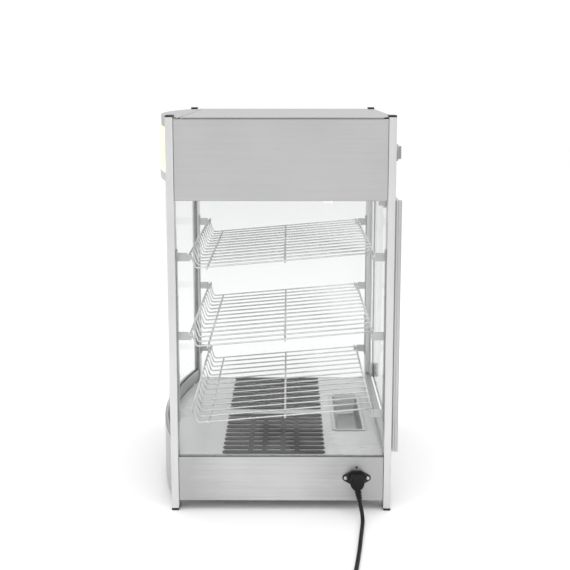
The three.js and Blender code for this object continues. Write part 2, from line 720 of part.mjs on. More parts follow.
for (const [side, x] of [['left', -1], ['right', 1]]) {
  add(`upper_side_panel_${side}`, sidePanel(x, hoodZ, 705.5), finishes.steel);
  add(`side_glass_${side}`, sideGlass(x), finishes.glass);
}
add('lower_side_panel_left', sidePanel(-1, floorPanelZ, sidePanelTop), finishes.steel);
add('lower_side_panel_right', lowerSidePanelRight(), finishes.steel);
add('lower_front_panel', lowerFrontPanel(), finishes.steel);
add('lower_rear_panel', lowerRearPanel(), finishes.steel);
add('base_plate', basePlate(), finishes.steel);
add('control_panel', controlPanel(), finishes.steel);
add('roof_plate', roofPlate(), finishes.steel);
add('roof_bow_cover', roofBowCover(), finishes.steel);
add('hood_liner', hoodLiner(), finishes.steel);

add('front_glass', frontGlass(), finishes.glass);
add('front_glass_channel', frontGlassChannel(), finishes.aluminium);
add('sign_trim', signTrim(), finishes.aluminium);
add('sign_diffuser', signDiffuser(), finishes.sign);
add('sign_lamp', signLamp(), finishes.lamp);
add('cabin_lamp', cabinLamp(), finishes.lamp);

add('deck_plate', deckPlate(), finishes.deckSteel);
add('heater_tray', heaterTray(), finishes.deckSteel);
add('heating_element', heatingElement(), finishes.element);
add('water_pan', waterPan(), finishes.deckSteel);
const grateMesh = add('deck_grate_right', deckGrate(), finishes.iron);
const grateTwin = grateMesh.clone();
grateTwin.name = 'deck_grate_left';
grateTwin.position.x = -(grate.x0 + grate.x1);
caseGroup.add(grateTwin);

const rackSolid = rack();
rackLevels.forEach((level, i) => {
  add(rackNames[i], rackSolid, finishes.wireSteel).position.z = level;
});

add('door_glass', doorGlass(), finishes.glass);
add('door_handle', doorHandle(), finishes.aluminium);
for (const [place, up] of [['top', 1], ['bottom', -1]]) {
  add(`door_clamp_${place}`, doorClamp(up), finishes.steel);
  add(`hinge_bracket_${place}`, hingeBracket(up), finishes.steel);
}
add('door_catch', doorCatch(), finishes.steel);

add('thermostat_knob', thermostatKnob(), finishes.knob).position.set(knob.x, 0, knob.z);
add('thermostat', thermostat(), finishes.steel);
const rockerSolid = rocker();
rockerNames.forEach((name, i) => {
  const mesh = add(name, rockerSolid, finishes.plastic);
  mesh.position.set(rockerX[i], 196.6, knob.z);
  mesh.rotation.x = THREE.MathUtils.degToRad(-rockerTilt);
});

add('power_inlet', powerInlet(), finishes.plastic).position.set(0, inlet.y, inlet.z);
add('lead_connector', leadConnector(), finishes.rubber);
add('power_cable', powerCable(), finishes.rubber);
add('cable_coil', cableCoil(), finishes.rubber);
const plugMesh = add('mains_plug', mainsPlug(), finishes.plastic);
plugMesh.position.set(552.4, 16.8, 19);
plugMesh.rotation.z = THREE.MathUtils.degToRad(165);

export default group;
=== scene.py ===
# A countertop heated display case: bowed glass front with a lit sign over it, glazed sides,
# a swing door at the back, three tilted wire racks, and a heated deck with a water pan.
# Metres, +Z up; the customer's side faces -Y, the server's side +Y, the inlet is on +X.
import json
import math

import bmesh
import bpy
from mathutils import Matrix, Vector


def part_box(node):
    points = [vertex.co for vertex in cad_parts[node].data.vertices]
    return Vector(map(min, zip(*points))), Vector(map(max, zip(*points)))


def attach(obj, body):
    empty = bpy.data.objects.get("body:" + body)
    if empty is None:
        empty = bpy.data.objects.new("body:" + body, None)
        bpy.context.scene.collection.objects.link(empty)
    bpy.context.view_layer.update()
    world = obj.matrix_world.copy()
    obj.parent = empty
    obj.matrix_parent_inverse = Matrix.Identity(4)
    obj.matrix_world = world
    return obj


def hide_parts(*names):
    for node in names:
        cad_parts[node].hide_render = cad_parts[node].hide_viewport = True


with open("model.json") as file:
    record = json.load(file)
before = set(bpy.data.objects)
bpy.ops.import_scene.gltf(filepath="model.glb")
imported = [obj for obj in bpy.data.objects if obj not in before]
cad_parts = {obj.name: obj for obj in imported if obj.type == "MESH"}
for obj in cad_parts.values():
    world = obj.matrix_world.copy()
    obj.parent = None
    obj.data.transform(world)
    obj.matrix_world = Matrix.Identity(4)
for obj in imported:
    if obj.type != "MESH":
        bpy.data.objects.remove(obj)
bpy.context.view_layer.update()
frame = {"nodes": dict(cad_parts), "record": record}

scene = bpy.context.scene
nodes = frame["nodes"]
body_of_node = {
    node: body for body, members in frame["record"]["behaviour"]["bodies"].items() for node in members
}

# ---------------------------------------------------------------------------- the view
# The case is looked at square on from its right side, from a little above its roof, with
# the lens raised in its mount so that the uprights stay nearly upright.
eye = Vector((1.820, 0.0203, 0.774))
looking_down = math.radians(8.44)
turned = math.radians(0.261)
looking = Vector((
    -math.cos(looking_down) * math.cos(turned),
    -math.cos(looking_down) * math.sin(turned),
    -math.sin(looking_down),
))
camera = bpy.data.objects.new("view", bpy.data.cameras.new("view"))
camera.data.lens = 58.83
camera.data.shift_y = -0.12
camera.location = eye
camera.rotation_mode = "QUATERNION"
camera.rotation_quaternion = looking.to_track_quat("-Z", "Y")
scene.collection.objects.link(camera)
scene.camera = camera
scene.view_settings.view_transform = "Standard"


# -------------------------------------------------------------------------- mains lead
# A detachable lead: round black rubber sheath, 7 mm thick, moulded to its connector and
# its plug. It drops from the connector to the counter, runs off and lies in a neat coil.
class Value:
    """A shader socket that sums and products can be written with."""

    def __init__(self, finish, socket):
        self.finish = finish
        self.socket = socket

    def maths(self, operation, first, second):
        return self.finish.node("Math", {"operation": operation}, {0: first, 1: second})

    def __add__(self, other):
        return self.maths("ADD", self, other)

    __radd__ = __add__

    def __sub__(self, other):
        return self.maths("SUBTRACT", self, other)

    def __rsub__(self, other):
        return self.maths("SUBTRACT", other, self)

    def __mul__(self, other):
        return self.maths("MULTIPLY", self, other)

    __rmul__ = __mul__

    def __pow__(self, other):
        return self.maths("POWER", self, other)


class Finish:
    """A surface finish: one Blender material with a Principled shader."""

    def __init__(self, name, **constants):
        self.material = bpy.data.materials.new(name)
        self.material.use_nodes = True
        self.tree = self.material.node_tree
        self.tree.nodes.clear()
        self.end = self.tree.nodes.new("ShaderNodeOutputMaterial")
        self.shader = self.tree.nodes.new("ShaderNodeBsdfPrincipled")
        self.tree.links.new(self.shader.outputs[0], self.end.inputs["Surface"])
        self.set(**constants)

    def feed(self, socket, value):
        if isinstance(value, Value):
            self.tree.links.new(value.socket, socket)
        else:
            socket.default_value = value

    def set(self, **sockets):
        for name, value in sockets.items():
            self.feed(self.shader.inputs[name.replace("_", " ")], value)

    def node(self, kind, settings, sockets, output=0):
        made = self.tree.nodes.new("ShaderNode" + kind)
        for name, value in settings.items():
            if name == "stops":
                ramp = made.color_ramp
                while len(ramp.elements) < len(value):
                    ramp.elements.new(1)
                for element, (place, colour) in zip(ramp.elements, value):
                    element.position = place
                    element.color = colour
            else:
                setattr(made, name, value)
        for name, value in sockets.items():
            self.feed(made.inputs[name], value)
        return Value(self, made.outputs[output])

    def grain(self, size, stretch=(1, 1, 1)):
        """Cloudy noise about 0.5, with features of that size; stretch lengthens them along an axis."""
        place = self.node("TexCoord", {}, {}, "Object")
        squeeze = tuple(1 / (size * s) for s in stretch)
        place = self.node("Mapping", {}, {"Vector": place, "Scale": squeeze})
        return self.node("TexNoise", {}, {"Vector": place, "Scale": 1.0, "Detail": 3.0}, "Fac")

    def shades(self, mask, dark, light):
        """A colour between dark and light, over the middle of the mask's range."""
        stops = [(0.3, (*dark, 1)), (0.7, (*light, 1))]
        return self.node("ValToRGB", {"stops": stops}, {"Fac": mask}, "Color")

    def relief(self, height, depth):
        """A bump whose full height stands that many metres proud."""
        return self.node("Bump", {}, {"Height": height, "Distance": depth, "Strength": 1.0}, "Normal")


def grey(level):
    return (level, level, level)


rubber = Finish("lead_rubber", Specular_IOR_Level=0.2)
rubber_cloud = rubber.grain(0.006)
rubber.set(
    Base_Color=rubber.shades(rubber_cloud, grey(0.008), grey(0.016)),
    Roughness=0.42 + rubber_cloud * 0.22,
    Normal=rubber.relief(rubber.grain(0.0006), 0.00004),
)


def smooth_step(share):
    return share * share * (3 - 2 * share)


def link(name, data, finish, body, replaced=()):
    """Puts a new piece on its body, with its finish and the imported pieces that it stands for."""
    made = bpy.data.objects.new(name, data)
    data.materials.append(finish.material)
    scene.collection.objects.link(made)
    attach(made, body)
    if replaced:
        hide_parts(*replaced)
    return made


def mesh_piece(name, shape, finish, body, replaced=(), crease=35):
    """Turns a bmesh into a piece, smooth except where its faces meet more sharply than crease."""
    data = bpy.data.meshes.new(name)
    bmesh.ops.recalc_face_normals(shape, faces=shape.faces)
    shape.to_mesh(data)
    shape.free()
    data.shade_smooth()
    data.set_sharp_from_angle(angle=math.radians(crease))
    return link(name, data, finish, body, replaced)


def round_place(radius, angle, height):
    return Vector((radius * math.cos(angle), radius * math.sin(angle), height))


def skin(shape, ring, after):
    """Faces from one ring of corners to the next, all the way round."""
    for i in range(len(ring)):
        j = (i + 1) % len(ring)
        shape.faces.new([ring[i], ring[j], after[j], after[i]])


def oblong(low_x, high_x, low_y, high_y):
    return [(low_x, low_y), (high_x, low_y), (high_x, high_y), (low_x, high_y)]


def facing(place, direction):
    """A local frame at that place whose Z points along direction."""
    return Matrix.Translation(place) @ Vector(direction).to_track_quat("Z", "Y").to_matrix().to_4x4()


lead_radius = 0.0035
boot_start = Vector((0.2425, 0.142, 0.0525))
boot_run = Vector((0.342, 0.17, -0.924)).normalized()
boot_length = 0.024
lead_exit = boot_start + boot_run * boot_length
lead_route = [lead_exit + boot_run * reach for reach in (-0.006, -0.002, 0.004)] + [
    Vector(point) for point in (
        (0.2569, 0.1483, 0.0191), (0.265, 0.1497, 0.0115), (0.2749, 0.150, 0.0063),
        (0.2837, 0.1494, 0.0041), (0.291, 0.1484, 0.00365), (0.310, 0.1459, 0.00365),
        (0.335, 0.1426, 0.00365), (0.364, 0.1388, 0.00365), (0.397, 0.134, 0.00365),
        (0.429, 0.129, 0.00365), (0.455, 0.1246, 0.00365), (0.480, 0.1201, 0.00365),
        (0.499, 0.1167, 0.00365), (0.513, 0.1139, 0.00365),
    )
]
# The coil, wound clockwise as seen from above: degrees wound, radius, height of the
# lead's middle. Three turns inwards on the counter, then outwards on top of them.
coil_middle = Vector((0.517, 0.0665, 0))
coil_entry = 79
coil_stations = [
    (0, 0.0455, 0.00365), (240, 0.0455, 0.00365), (360, 0.0385, 0.00365), (600, 0.0385, 0.00365),
    (720, 0.0315, 0.00365), (900, 0.0315, 0.00365), (1020, 0.0315, 0.01065), (1200, 0.0315, 0.01065),
    (1320, 0.0385, 0.01065), (1560, 0.0385, 0.01065), (1680, 0.0455, 0.01065), (1920, 0.0455, 0.01065),
    (1980, 0.0420, 0.0174), (2254, 0.0420, 0.0174),
]
coil_points = []
for (wound_a, radius_a, height_a), (wound_b, radius_b, height_b) in zip(coil_stations, coil_stations[1:]):
    steps = round((wound_b - wound_a) / 15)
    for step in range(steps):
        share = step / steps
        eased_share = smooth_step(share)
        angle = math.radians(coil_entry - wound_a - (wound_b - wound_a) * share)
        radius = radius_a + (radius_b - radius_a) * eased_share
        height = height_a + (height_b - height_a) * eased_share
        coil_points.append(coil_middle + round_place(radius, angle, height))
plug_start = Vector((0.5524, 0.0228, 0.019))
plug_turn = math.radians(165)
plug_run = Vector((-math.sin(plug_turn), math.cos(plug_turn), 0))
lead_end = [
    Vector((0.5570, 0.0460, 0.0178)), Vector((0.5545, 0.0330, 0.0188)),
    plug_start, plug_start + plug_run * 0.004,
]

lead_curve = bpy.data.curves.new("mains_lead", "CURVE")
lead_curve.dimensions = "3D"
lead_curve.bevel_depth = lead_radius
lead_curve.bevel_resolution = 5
lead_curve.resolution_u = 4
lead_curve.use_fill_caps = True
lead_points = lead_route + coil_points + lead_end
lead_spline = lead_curve.splines.new("BEZIER")
lead_spline.bezier_points.add(len(lead_points) - 1)
for knot, place in zip(lead_spline.bezier_points, lead_points):
    knot.co = place
    knot.handle_left_type = knot.handle_right_type = "AUTO"
mains_lead = link("mains_lead", lead_curve, rubber, "case", ["power_cable", "cable_coil"])
turned_sides = 48


def moulding(name, profile, place, direction, finish, replaced=()):
    """A turned piece of the case: (radius, height) pairs along direction from that place."""
    local = facing(place, direction)
    shape = bmesh.new()
    before = None
    for radius, height in profile:
        around = turned_sides if radius else 1
        now = [
            shape.verts.new(local @ round_place(radius, i / turned_sides * math.tau, height))
            for i in range(around)
        ]
        if before is not None:
            for i in range(turned_sides):
                j = (i + 1) % turned_sides
                low = [before[i % len(before)], before[j % len(before)]]
                high = [now[j % len(now)], now[i % len(now)]]
                face = list(dict.fromkeys(low + high))
                if len(face) > 2:
                    shape.faces.new(face)
        before = now
    return mesh_piece(name, shape, finish, "case", replaced)


def ribbed_boot(long, thick, thin, ribs):
    """The profile of a strain relief that tapers, with a groove after every rib."""
    profile = []
    for i in range(ribs):
        for share, depth in ((0.0, 0.0), (0.55, 0.0), (0.65, 0.0011), (0.9, 0.0011)):
            along = (i + share) / ribs
            profile.append((thick + (thin - thick) * along - depth, long * along))
    tip = [(thin, long), (thin - 0.0006, long + 0.0004), (lead_radius, long + 0.0004), (0, long - 0.002)]
    return profile + tip


def eased_prism(outline, width, segments, low, high):
    """An upright prism on an outline of (x, y), with its edges rounded off, about its own origin."""
    shape = bmesh.new()
    base = shape.faces.new([shape.verts.new((x, y, low)) for x, y in outline])
    grown = bmesh.ops.extrude_face_region(shape, geom=[base])
    raised = [part for part in grown["geom"] if isinstance(part, bmesh.types.BMVert)]
    bmesh.ops.translate(shape, verts=raised, vec=(0, 0, high - low))
    bmesh.ops.bevel(shape, geom=list(shape.edges), offset=width, segments=segments, profile=0.5,
                    affect="EDGES", clamp_overlap=True)
    return shape


# The connector's housing follows the inlet's six-sided mouth; its lead leaves downwards
# through a ribbed strain relief that leans out to the rear.
moulded = Finish("moulded_rubber", Specular_IOR_Level=0.18)
moulded_cloud = moulded.grain(0.004)
moulded.set(
    Base_Color=moulded.shades(moulded_cloud, grey(0.006), grey(0.014)),
    Roughness=0.34 + moulded_cloud * 0.24,
    Normal=moulded.relief(moulded.grain(0.0005), 0.00005),
)
inlet_middle = Vector((0.2302, 0.142, 0.062))
housing_outline = [
    (-0.013, 0.001), (-0.010, 0.010), (0.010, 0.010), (0.013, 0.001),
    (0.012, -0.006), (0.0075, -0.013), (-0.0075, -0.013), (-0.012, -0.006),
]
on_its_side = Matrix(((0, 0, 1, 0), (1, 0, 0, 0), (0, 1, 0, 0), (0, 0, 0, 1)))
housing = eased_prism(housing_outline, 0.0022, 4, 0, 0.022)
housing_lip = eased_prism([(x * 1.05, y * 1.05) for x, y in housing_outline], 0.0006, 2, 0.0002, 0.0032)
joined = bpy.data.meshes.new("lip")
housing_lip.to_mesh(joined)
housing_lip.free()
housing.from_mesh(joined)
bpy.data.meshes.remove(joined)
bmesh.ops.transform(housing, matrix=Matrix.Translation(inlet_middle) @ on_its_side, verts=housing.verts)
connector_body = mesh_piece("connector_body", housing, moulded, "case", ["lead_connector"])
connector_boot = moulding(
    "connector_strain_relief", [(0, -0.006), (0.0064, -0.006), (0.0068, -0.002)]
    + ribbed_boot(boot_length, 0.0068, 0.0048, 5), boot_start, boot_run, moulded)

# The plug is a round two-pin one: a moulded body that swells from its strain relief to a
# round face with a grip rim, and two plated pins with insulated roots.
plug_profile = [(0, 0.003)] + [
    (radius, height) for radius, height in reversed(
        [(r, 0.024 - h) for r, h in ribbed_boot(0.024, 0.0070, 0.0048, 5)[:-1]])
] + [
    (0.0082, 0.0255), (0.0100, 0.0280), (0.0122, 0.0315), (0.0136, 0.0355), (0.0144, 0.0400),
    (0.0150, 0.0440), (0.0158, 0.0462), (0.0176, 0.0474), (0.0183, 0.0484), (0.0186, 0.0500),
    (0.0186, 0.0622), (0.0183, 0.0634), (0.0176, 0.0640), (0.0165, 0.0640), (0.0161, 0.0634), (0, 0.0632),
]
mains_plug = moulding(
    "plug_body", plug_profile, plug_start, plug_run, moulded, ["mains_plug"])

plated = Finish("plated_brass", Metallic=1.0)
plated_cloud = plated.grain(0.003)
plated.set(
    Base_Color=plated.shades(plated_cloud, (0.62, 0.60, 0.55), (0.74, 0.72, 0.66)),
    Roughness=0.16 + plated_cloud * 0.16,
)
pin_profile = [
    (0, -0.002), (0.0024, -0.002), (0.0024, 0.0175), (0.0020, 0.0192), (0.0012, 0.0202), (0, 0.0205),
]
for side in (-1, 1):
    pin_root = plug_start + plug_run * 0.0625 + Vector((plug_run.y, -plug_run.x, 0)) * 0.0095 * side
    moulding(
        "plug_pin_" + ("left" if side < 0 else "right"), pin_profile, pin_root, plug_run, plated)

# A strap of soft tape holds the coil's turns together: a squarish loop round all of them.
tape_turn = math.radians(-60)
tape_out = Vector((math.cos(tape_turn), math.sin(tape_turn), 0))
tape_along = Vector((-tape_out.y, tape_out.x, 0))
tape_middle = coil_middle + tape_out * 0.0385 + Vector((0, 0, 0.0100))
half_across, half_up, half_tape, tape_thick = 0.0118, 0.0096, 0.006, 0.0007
tape_steps = 40
tape = bmesh.new()
tape_rings = []
for step in range(tape_steps):
    angle = step / tape_steps * math.tau
    squarish = (abs(math.cos(angle)) ** 4 + abs(math.sin(angle)) ** 4) ** -0.25
    out = tape_out * half_across * squarish * math.cos(angle)
    out += Vector((0, 0, half_up * squarish * math.sin(angle)))
    inner = out - out.normalized() * tape_thick
    tape_rings.append([
        tape.verts.new(tape_middle + face + tape_along * reach)
        for reach, face in ((-half_tape, out), (half_tape, out), (half_tape, inner), (-half_tape, inner))
    ])
for ring, after in zip(tape_rings, tape_rings[1:] + tape_rings[:1]):
    skin(tape, ring, after)
woven = Finish("strap_tape", Specular_IOR_Level=0.2)
woven_weave = woven.grain(0.0007, (1, 1, 3))
woven.set(
    Base_Color=woven.shades(woven_weave, grey(0.012), grey(0.045)),
    Roughness=0.75 + woven_weave * 0.2,
    Normal=woven.relief(woven_weave, 0.00015),
)
lead_strap = mesh_piece("lead_strap", tape, woven, "case")

# ------------------------------------------------------------------------- corner posts
# Four lengths of one aluminium extrusion, satin anodised, with grooves for the panes.
# The drawing lines of the die run the length of each one.


def anodised(name, lines, dark=0.60, light=0.70):
    """Satin anodised aluminium; lines lengthens the die's fine lines along the extrusion."""
    finish = Finish(name, Metallic=1.0)
    die_lines = finish.grain(0.0008, lines)
    cloud = finish.grain(0.09)
    finish.set(
        Base_Color=finish.shades(die_lines * 0.5 + cloud * 0.5, grey(dark), grey(light)),
        Roughness=0.27 + die_lines * 0.16,
        Normal=finish.relief(die_lines, 0.000006),
    )
    return finish


def worked(node, finish, width=0.0004, segments=2, crease=30):
    """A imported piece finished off: its coplanar facets merged and its sharp edges eased."""
    shape = bmesh.new()
    shape.from_mesh(nodes[node].data)
    bmesh.ops.remove_doubles(shape, verts=shape.verts, dist=0.000002)
    bmesh.ops.dissolve_limit(shape, angle_limit=math.radians(0.6), verts=shape.verts, edges=shape.edges)
    made = mesh_piece(
        "finished_" + node, shape, finish, body_of_node[node], [node], crease)
    ease = made.modifiers.new("eased_edges", "BEVEL")
    ease.width = width
    ease.segments = segments
    ease.limit_method = "ANGLE"
    ease.angle_limit = math.radians(30)
    ease.harden_normals = True
    return made


upright_aluminium = anodised("upright_aluminium", (1, 1, 300))
corners = [f"{end}_{side}" for end in ("front", "rear") for side in ("left", "right")]
for corner in corners:
    worked("post_" + corner, upright_aluminium, 0.0005)

# ------------------------------------------------------------------------ caps and feet
# A black nylon plug closes the top of each post, and a thicker one underneath is its foot.
black_nylon = Finish("black_nylon", Specular_IOR_Level=0.3)
nylon_cloud = black_nylon.grain(0.005)
black_nylon.set(
    Base_Color=black_nylon.shades(nylon_cloud, grey(0.014), grey(0.028)),
    Roughness=0.40 + nylon_cloud * 0.25,
    Normal=black_nylon.relief(black_nylon.grain(0.0005), 0.00004),
)
for corner in corners:
    worked("post_cap_" + corner, black_nylon, 0.0009, 3)
    worked("foot_" + corner, black_nylon, 0.0012, 3)

# ------------------------------------------------------------------------- steel panels
# Folded stainless sheet, 1.2 mm, brushed along its length: two panels on each side, one
# across the front below the glass, two across the back, the floor, the roof and its cover.


def brushed(name, grain_along, dark, light, rough=0.30, metallic=1.0, painted_sheen=0.0):
    """Brushed stainless sheet; grain_along lengthens the brush marks along one axis.

    A value above 0 paints a sheen on the sheet: lighter in the middle along Y, darker towards its two
    ends.
    """
    finish = Finish(name, Metallic=metallic)
    marks = finish.grain(0.0006, grain_along)
    streaks = finish.grain(0.004, grain_along)
    cloud = finish.grain(0.12)
    grain_and_painted_sheen = marks * 0.35 + streaks * 0.3 + cloud * 0.35
    # Painted sheen: the colour is raised in the middle along Y and lowered towards the two ends.
    if painted_sheen:
        place = finish.node("TexCoord", {}, {}, "Object")
        along = finish.node("SeparateXYZ", {}, {"Vector": place}, "Y")
        grain_and_painted_sheen = grain_and_painted_sheen + 0.12 - along * along * painted_sheen
    finish.set(
        Base_Color=finish.shades(grain_and_painted_sheen, grey(dark), grey(light)),
        Roughness=rough + marks * 0.12 + cloud * 0.06,
        Normal=finish.relief(marks, 0.000012),
    )
    return finish


side_steel = brushed("side_steel", (1, 60, 1), 0.46, 0.53)
# The lower side panels carry a painted sheen, lighter in the middle and darker towards their ends.
base_steel = brushed("base_steel", (1, 60, 1), 0.44, 0.64, painted_sheen=14)
cross_steel = brushed("cross_steel", (60, 1, 1), 0.49, 0.56)
for side in ("left", "right"):
    worked("upper_side_panel_" + side, side_steel)
    worked("lower_side_panel_" + side, base_steel)
bow_steel = brushed("bow_steel", (60, 1, 1), 0.40, 0.47)
worked("lower_front_panel", bow_steel, 0.0003)
worked("lower_rear_panel", cross_steel)
worked("base_plate", cross_steel, 0.0003)
worked("control_panel", cross_steel)
worked("hood_liner", cross_steel, 0.0003)
roof_steel = brushed("roof_steel", (1, 60, 1), 0.32, 0.40, 0.26)
worked("roof_plate", roof_steel)
worked("roof_bow_cover", roof_steel)
# The side edges of the roof and of its cover are folded down; a run goes from front to rear.
roof_low, roof_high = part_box("roof_plate")
hem_runs = {"roof_bow_cover": (-0.1779, -0.1681), "roof_plate": (-0.1659, 0.1815)}
for side, place in ((-1, "left"), (1, "right")):
    for piece, run in hem_runs.items():
        edge = oblong(side * (roof_high.x - 0.0012), side * roof_high.x, *run)
        hem = eased_prism(edge, 0.0003, 2, roof_low.z - 0.0008, roof_low.z + 0.0004)
        mesh_piece(f"{piece}_hem_{place}", hem, roof_steel, "case")

# ------------------------------------------------------------------------- glass panes
# Clear toughened glass, 4 mm, with arrised edges that show grey-green: a bowed pane in
# front, a flat one in each side, and the door. They let the view through and mirror it
# more the flatter they are looked along.
clear_glass = Finish("clear_glass", Metallic=1.0, Base_Color=(0.96, 0.98, 0.97, 1))
smudges = clear_glass.grain(0.05)
clear_glass.set(Roughness=0.02 + smudges * 0.03)
grazing = clear_glass.node("LayerWeight", {}, {"Blend": 0.5}, "Facing")
mirrored = 0.016 + grazing ** 5 * 0.3 + smudges * 0.006
passing = clear_glass.node("BsdfTransparent", {}, {"Color": (0.960, 0.962, 0.962, 1)}, "BSDF")
mirror = Value(clear_glass, clear_glass.shader.outputs[0])
pane = clear_glass.node("MixShader", {}, {0: mirrored, 1: passing, 2: mirror}, "Shader")
clear_glass.tree.links.new(pane.socket, clear_glass.end.inputs["Surface"])

glass_edge = Finish("glass_edge", Specular_IOR_Level=0.6, Coat_Weight=0.4, Coat_Roughness=0.1)
edge_cloud = glass_edge.grain(0.02)
glass_edge.set(
    Base_Color=glass_edge.shades(edge_cloud, (0.24, 0.26, 0.255), (0.33, 0.355, 0.35)),
    Roughness=0.22 + edge_cloud * 0.12,
)


def glazed(node, facing_axis):
    """A pane whose two broad faces are clear and whose rim shows the depth of the glass."""
    made = worked(node, clear_glass, 0.0005)
    made.data.materials.append(glass_edge.material)
    made.modifiers["eased_edges"].material = 1
    for face in made.data.polygons:
        face.material_index = 0 if facing_axis(face.normal) else 1
    return made


glazed("front_glass", lambda normal: abs(normal.y) > 0.8)
for side in ("left", "right"):
    glazed("side_glass_" + side, lambda normal: abs(normal.x) > 0.9)
glazed("door_glass", lambda normal: abs(normal.y) > 0.9)

# ------------------------------------------------------------------------- bowed front
# Anodised rails bent to the bow carry the pane at its foot and at its head; the lit sign
# above is an opal cream acrylic face that swells forward, with a lamp behind it.
trim_aluminium = anodised("trim_aluminium", (300, 1, 1), 0.46, 0.54)
channel_aluminium = anodised("channel_aluminium", (300, 1, 1), 0.38, 0.46)
worked("front_glass_channel", channel_aluminium, 0.0004)
worked("sign_trim", trim_aluminium, 0.0004)
acrylic = Finish("sign_acrylic", Specular_IOR_Level=0.15, Emission_Strength=0.30)
acrylic_cloud = acrylic.grain(0.16)
acrylic.set(
    Base_Color=acrylic.shades(acrylic_cloud, (0.90, 0.86, 0.54), (0.94, 0.90, 0.60)),
    Emission_Color=acrylic.shades(acrylic_cloud, (1.0, 0.93, 0.50), (1.0, 0.96, 0.60)),
    Roughness=0.40 + acrylic_cloud * 0.15,
)
worked("sign_diffuser", acrylic, 0.0006)

# --------------------------------------------------------------------------- the lamps
# A glass tube on a white batten lights the sign; a round opal fitting in a plated collar
# lights the cabin from its ceiling.
opal = Finish("opal_glass", Emission_Strength=0.5, Coat_Weight=0.3, Coat_Roughness=0.08)
opal_cloud = opal.grain(0.03)
opal.set(
    Base_Color=opal.shades(opal_cloud, (0.80, 0.77, 0.70), (0.90, 0.87, 0.80)),
    Emission_Color=opal.shades(opal_cloud, (1.0, 0.92, 0.78), (1.0, 0.96, 0.86)),
    Roughness=0.15 + opal_cloud * 0.15,
)
white_steel = Finish("white_enamel", Coat_Weight=0.2)
enamel_cloud = white_steel.grain(0.02)
white_steel.set(
    Base_Color=white_steel.shades(enamel_cloud, grey(0.70), grey(0.80)),
    Roughness=0.30 + enamel_cloud * 0.15,
)
lamp_low, lamp_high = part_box("sign_lamp")
tube_radius = 0.0075
tube_middle = Vector((0, lamp_low.y + tube_radius, (lamp_low.z + lamp_high.z) / 2))
tube_half = lamp_high.x - 0.002
tube_rings = [(0, -tube_half), (0.0045, -tube_half), (0.0060, -tube_half + 0.0006)]
tube_rings += [(0.0060, -tube_half + 0.012), (tube_radius, -tube_half + 0.014)]
tube_rings += [(radius, -height) for radius, height in reversed(tube_rings)]
moulding("sign_lamp_tube", tube_rings, tube_middle, (1, 0, 0), opal, ["sign_lamp"])
batten_outline = oblong(lamp_low.x, lamp_high.x, tube_middle.y + 0.0050, lamp_high.y)
batten = eased_prism(batten_outline, 0.0012, 3, lamp_low.z, lamp_high.z)
mesh_piece("sign_lamp_batten", batten, white_steel, "case")

cabin_low, cabin_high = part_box("cabin_lamp")
cabin_place = (0, (cabin_low.y + cabin_high.y) / 2, cabin_low.z)
dome_radius = 0.016
dome_rings = []
dome_steps = 12
for step in range(dome_steps + 1):
    angle = step / dome_steps * math.pi / 2
    dome_rings.append((dome_radius * math.sin(angle), dome_radius * (1 - math.cos(angle))))
dome_rings += [(dome_radius, 0.0225), (0, 0.0225)]
moulding("cabin_lamp_glass", dome_rings, cabin_place, (0, 0, 1), opal, ["cabin_lamp"])
collar_rings = [
    (0.0152, 0.0200), (0.0178, 0.0206), (0.0188, 0.0218), (0.0190, 0.0235), (0.0190, 0.0355),
    (0.0184, 0.0364), (0, 0.0364),
]
moulding("cabin_lamp_collar", collar_rings, cabin_place, (0, 0, 1), plated)

# ----------------------------------------------------------------- deck, tray and rod
# The deck is brighter, hazier stainless sheet, closed but for the pan, over a folded tray.
# The rod in the tray is sheathed in steel that its own heat has tinted brown and blue.
deck_steel = brushed("deck_steel", (1, 40, 1), 0.68, 0.71, 0.20, metallic=0.3)
worked("deck_plate", deck_steel, 0.0005)
worked("heater_tray", deck_steel, 0.0004)

sheath = Finish("heater_sheath", Metallic=1.0)
heat_bands = sheath.grain(0.03, (2.5, 1, 1))
sheath.set(
    Base_Color=sheath.shades(heat_bands, (0.16, 0.13, 0.12), (0.42, 0.37, 0.31)),
    Roughness=0.35 + sheath.grain(0.003) * 0.25,
    Normal=sheath.relief(sheath.grain(0.0010), 0.00004),
)


def run_tube(shape, points, radius, sides=12, round_ends=True):
    """A closed round bar that follows the points, which lie in one plane or nearly so."""
    count = len(points)
    runs = [(points[min(i + 1, count - 1)] - points[max(i - 1, 0)]).normalized() for i in range(count)]
    across = runs[0].orthogonal().normalized()
    rings = []
    stations = [(points[i], runs[i], 1.0) for i in range(count)]
    if round_ends:
        stations.insert(0, (points[0] - runs[0] * radius * 0.35, runs[0], 0.65))
        stations.append((points[-1] + runs[-1] * radius * 0.35, runs[-1], 0.65))
    for place, run, share in stations:
        across = (across - run * across.dot(run)).normalized()
        other = run.cross(across)
        rings.append([
            shape.verts.new(
                place + (across * math.cos(i / sides * math.tau) + other * math.sin(i / sides * math.tau))
                * radius * share)
            for i in range(sides)
        ])
    for ring, after in zip(rings, rings[1:]):
        skin(shape, ring, after)
    shape.faces.new(rings[0])
    shape.faces.new(rings[-1])


rod_radius = 0.004
rod_low, rod_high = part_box("heating_element")
rod_bend = (rod_high.y - rod_low.y) / 2 - rod_radius
rod_z = (rod_low.z + rod_high.z) / 2
rod_bend_middle = Vector((rod_low.x + rod_radius + rod_bend, (rod_low.y + rod_high.y) / 2, rod_z))
rod_points = [Vector((rod_high.x, rod_bend_middle.y - rod_bend, rod_z))]
rod_steps = 32
for step in range(rod_steps + 1):
    angle = -math.pi / 2 - step / rod_steps * math.pi
    rod_points.append(rod_bend_middle + round_place(rod_bend, angle, 0))
rod_points.append(Vector((rod_high.x, rod_bend_middle.y + rod_bend, rod_z)))
rod_shape = bmesh.new()
run_tube(rod_shape, rod_points, rod_radius, 16, False)
mesh_piece("heating_rod", rod_shape, sheath, "case", ["heating_element"])

